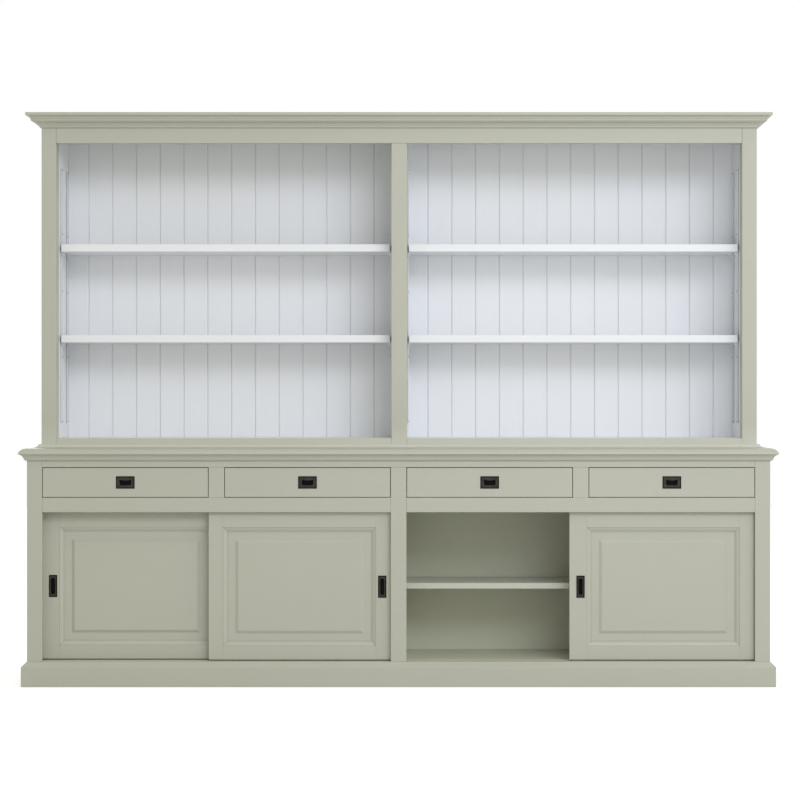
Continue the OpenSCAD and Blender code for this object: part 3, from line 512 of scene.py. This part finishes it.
# every CAD node: its finish, and how far its sharp edges are rounded, in mm
dress = {
    "plinth": ("sage", 1.2), "base_side_left": ("sage", 0.8),
    "base_side_right": ("sage", 0.8), "base_divider": ("inside", 0.6),
    "base_floor": ("inside", 0.6), "base_back": ("inside", 0.6),
    "base_stiles": ("sage", 1.2), "base_rails": ("sage", 1.2),
    "drawer_muntins": ("sage", 0.8), "drawer_partitions": ("pine", 0.6),
    "drawer_deck": ("inside", 0.5), "drawer_runners": ("pine", 0.8),
    "door_tracks": ("inside", 0.6), "door_jambs": ("inside", 0.6),
    "base_shelf_left": ("shelf", 1.0), "base_shelf_right": ("shelf", 1.0),
    "base_shelf_pins": ("zinc", 0.4), "worktop": ("sage", 1.0),
    "worktop_cove": ("sage", 0.4), "upper_side_left": ("sage", 0.8),
    "upper_side_right": ("sage", 0.8), "upper_divider": ("sage", 0.6),
    "upper_linings": ("white", 0.5), "upper_floor": ("white", 0.5),
    "upper_roof": ("sage", 0.8), "upper_stiles": ("sage", 1.5),
    "upper_rails": ("sage", 1.5), "back_boards": ("white", 0.4),
    "shelf_left_upper": ("white", 1.2), "shelf_left_lower": ("white", 1.2),
    "shelf_right_upper": ("white", 1.2), "shelf_right_lower": ("white", 1.2),
    "shelf_standards": ("zinc", 0.0), "shelf_clips": ("zinc", 0.4),
    "cornice": ("sage", 0.4), "foot_moulding": ("sage", 0.4),
}
for n in range(1, 5):  # four drawers over four doors
    dress[f"drawer_{n}_front"] = ("sage", 0.4)
    dress[f"drawer_{n}_box"] = ("pine", 0.4)
    dress[f"drawer_{n}_pull"] = ("plate", 0.35)
    dress[f"door_{n}_frame"] = ("sage", 0.4)
    dress[f"door_{n}_panel"] = ("sage", 0.5)
    dress[f"door_{n}_pull"] = ("plate", 0.35)

cornerGrid = {"perMetre": 10000, "shift": 0.237}  # shifted, so that no corner is on a step


def boardsOf(mesh):  # the faces of each separate board, found by their shared corners
    keys = [tuple(round(c * cornerGrid["perMetre"] + cornerGrid["shift"]) for c in v.co)
            for v in mesh.vertices]
    parent = {key: key for key in keys}

    def root(key):
        while parent[key] != key:
            parent[key] = parent[parent[key]]
            key = parent[key]
        return key

    for face in mesh.polygons:
        for corner in face.vertices[1:]:
            parent[root(keys[corner])] = root(keys[face.vertices[0]])
    boards = {}
    for face in mesh.polygons:
        boards.setdefault(root(keys[face.vertices[0]]), []).append(face)
    return boards.values()


def longWay(mesh, faces):  # the axis of a board's length
    spots = [mesh.vertices[corner].co for face in faces for corner in face.vertices]
    spans = [max(s[i] for s in spots) - min(s[i] for s in spots) for i in range(3)]
    return "XYZ"[spans.index(max(spans))]


cupPlace = {"fromEdge": 0.0065, "behindFace": 0.00005}  # a pull's faces past both are its cup


def cupOf(mesh, name):
    low, high = (Vector(corner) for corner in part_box(name))
    return [face for face in mesh.polygons
            if min(face.center.x - low.x, high.x - face.center.x) > cupPlace["fromEdge"]
            and min(face.center.z - low.z, high.z - face.center.z) > cupPlace["fromEdge"]
            and face.center.y > low.y + cupPlace["behindFace"]]


def give(mesh, faces, material):
    if material.name not in [m.name for m in mesh.materials]:
        mesh.materials.append(material)
    for face in faces:
        face.material_index = mesh.materials.find(material.name)


softening = {"joinWithin": 0.00001, "flatTurn": 0.4, "edgeTurn": 14, "segments": 2,
             "bigFacesFirst": 50}  # turns in degrees


def softenEdges(piece, width):
    weld = piece.modifiers.new("join", "WELD")
    weld.merge_threshold = softening["joinWithin"]
    flat = piece.modifiers.new("flatten", "DECIMATE")
    flat.decimate_type = "DISSOLVE"
    flat.angle_limit = math.radians(softening["flatTurn"])
    flat.delimit = {"MATERIAL"}
    if width:
        edge = piece.modifiers.new("softEdges", "BEVEL")
        edge.width = width / 1000
        edge.segments = softening["segments"]
        edge.limit_method = "ANGLE"
        edge.angle_limit = math.radians(softening["edgeTurn"])
        edge.miter_outer = "MITER_ARC"
    shade = piece.modifiers.new("shade", "WEIGHTED_NORMAL")
    shade.weight = softening["bigFacesFirst"]


for name, (family, width) in dress.items():
    piece = nodes[name]
    mesh = piece.data
    mesh.materials.clear()
    if name.endswith("pull"):
        give(mesh, mesh.polygons, finish(family, name))
        give(mesh, cupOf(mesh, name), finish("cup"))
    elif family in metals:
        give(mesh, mesh.polygons, finish(family))
    else:
        for faces in boardsOf(mesh):
            give(mesh, faces, finish(family, longWay(mesh, faces)))
    mesh.polygons.foreach_set("use_smooth", [True] * len(mesh.polygons))
    softenEdges(piece, width)
say("cad nodes dressed")


# small cross-head screws that hold the slotted standards
screw = {
    "faces": ((-1.325, 1), (-0.035, -1), (0.035, 1), (1.325, -1)),
    "depths": (0.040, 0.173), "foot": 1.004,
    "heights": (0.006, 0.262, 0.518, 0.742, 0.994),
    "profile": ((0.0035, -0.0002), (0.0035, 0.0003), (0.0031, 0.0008), (0.0021, 0.0011)),
    "slotHalf": 0.00035, "slotReach": 0.0015, "slotDeep": 0.0007, "sides": 24,
    "turnStep": 0.65,
}


def addScrew(mesh, spot, way, turn):
    frameOut = Vector((way, 0, 0))
    frameUp = Matrix.Rotation(turn, 3, "X") @ Vector((0, 0, 1))
    frameSide = frameOut.cross(frameUp)

    def corner(x, y, rise):
        return mesh.verts.new(spot + frameSide * x + frameUp * y + frameOut * rise)

    def bridge(lower, upper):
        for k in range(len(lower)):
            m = (k + 1) % len(lower)
            mesh.faces.new((lower[k], lower[m], upper[m], upper[k]))

    around = [2 * math.pi * k / screw["sides"] for k in range(screw["sides"])]
    rings = [[corner(radius * math.cos(angle), radius * math.sin(angle), rise)
              for angle in around] for radius, rise in screw["profile"]]
    for lower, upper in zip(rings, rings[1:]):
        bridge(lower, upper)
    a, b = screw["slotHalf"], screw["slotReach"]
    cross = [(b, -a), (b, a), (a, a), (a, b), (-a, b), (-a, a), (-b, a), (-b, -a), (-a, -a),
             (-a, -b), (a, -b), (a, -a)]
    top = screw["profile"][-1][1]
    mouth = [corner(x, y, top) for x, y in cross]
    bottom = [corner(x, y, top - screw["slotDeep"]) for x, y in cross]
    bridge(mouth, bottom)
    mesh.faces.new(bottom)
    loops = [mesh.edges.get((loop[k], loop[(k + 1) % len(loop)]))
             for loop in (rings[-1], mouth) for k in range(len(loop))]
    bmesh.ops.triangle_fill(mesh, use_beauty=True, use_dissolve=False, edges=loops)


screwMesh = bmesh.new()
screwSpots = [(Vector((x, y, screw["foot"] + height)), way) for x, way in screw["faces"]
              for y in screw["depths"] for height in screw["heights"]]
for k, (spot, way) in enumerate(screwSpots):
    addScrew(screwMesh, spot, way, k * screw["turnStep"])
bmesh.ops.recalc_face_normals(screwMesh, faces=screwMesh.faces)
screwData = bpy.data.meshes.new("standard_screws")
screwMesh.to_mesh(screwData)
screwMesh.free()
screwData.materials.append(finish("screw"))
screws = addObject("standard_screws", screwData)
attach(screws, "carcase")
say(f"{len(screwSpots)} screws made")


# floor and sky: plain white where seen, soft light on the cabinet, stronger from the right
stageLook = {
    "horizon": 0.66, "zenith": 0.90, "fromLeft": 0.58, "fromRight": 1.42,
    "tint": (1.0, 0.975, 0.875, 1), "floorHalf": 14, "floorRough": 0.9,
    "floorBounce": 0.76, "floorShown": 0.6, "floorGlow": 0.62,
}


def seenPlain(wire):  # 1 for what the camera, a mirror or glass looks at
    path = wire.add("ShaderNodeLightPath").outputs
    return wire.math("MAXIMUM", path["Is Camera Ray"], wire.math(
        "MAXIMUM", path["Is Glossy Ray"], path["Is Transmission Ray"]))


reach = stageLook["floorHalf"]
floorData = bpy.data.meshes.new("floor")
floorData.from_pydata([(-reach, -reach, 0), (reach, -reach, 0), (reach, reach, 0),
                       (-reach, reach, 0)], [], [(0, 1, 2, 3)])
floor = addObject("floor", floorData)
floorMaterial, floorWire, floorSurface = newMaterial("paleFloor")
floorSeen = seenPlain(floorWire)
bounce, shown, glow = (
    (stageLook[key],) * 3 + (1,) for key in ("floorBounce", "floorShown", "floorGlow"))
floorWire.feed(floorSurface["Base Color"], floorWire.mixColor(floorSeen, bounce, shown))
floorWire.feed(floorSurface["Emission Color"],
               floorWire.mixColor(floorSeen, (0, 0, 0, 1), glow))
floorSurface["Emission Strength"].default_value = 1
floorSurface["Roughness"].default_value = stageLook["floorRough"]
floorSurface["Specular IOR Level"].default_value = 0
floorData.materials.append(floorMaterial)

world = bpy.data.worlds.new("studio")
world.use_nodes = True
world.node_tree.nodes.clear()
bpy.context.scene.world = world
sky = Wiring(world.node_tree)
skySeen = seenPlain(sky)
aim = sky.parts(sky.add("ShaderNodeTexCoord").outputs["Generated"])
daylight = sky.math(
    "MULTIPLY", sky.spread(aim["Z"], 0.0, 1.0, stageLook["horizon"], stageLook["zenith"]),
    sky.spread(aim["X"], -1.0, 1.0, stageLook["fromLeft"], stageLook["fromRight"]))
strength = sky.add("ShaderNodeMix", {0: skySeen, 2: daylight, 3: 1.0},
                   data_type="FLOAT").outputs[0]
airTint = sky.mixColor(skySeen, stageLook["tint"], (1, 1, 1, 1))
background = sky.add("ShaderNodeBackground", {"Color": airTint, "Strength": strength})
sky.add("ShaderNodeOutputWorld", {"Surface": background.outputs[0]})

# a broad soft key from the front right, a weak fill close before the right bay, and a light
# behind for the back's sake
softboxes = {
    "keyLight": {"size": (5.6, 2.6), "power": 228.0, "spot": (3.5, -7.4, 5.2),
                 "aim": (0.0, 0.0, 1.1)},
    "frontFill": {"size": (1.2, 1.2), "power": 4.5, "spot": (0.85, -1.9, 1.6),
                  "aim": (0.85, 0.2, 1.5)},
    "backFill": {"size": (4.0, 2.0), "power": 60.0, "spot": (-2.0, 6.0, 3.0),
                 "aim": (0.0, 0.0, 1.1)},
}
lampTint = (0.955, 1.0, 1.15)
for name, look in softboxes.items():
    lamp = bpy.data.lights.new(name, "AREA")
    lamp.shape = "RECTANGLE"
    lamp.size, lamp.size_y = look["size"]
    lamp.energy = look["power"]
    lamp.color = lampTint
    softbox = addObject(name, lamp)
    softbox.location = look["spot"]
    away = Vector(look["aim"]) - Vector(look["spot"])
    softbox.rotation_euler = away.to_track_quat("-Z", "Y").to_euler()
    softbox.visible_camera = False

bpy.context.scene.view_settings.view_transform = "Standard"
say("stage lit")
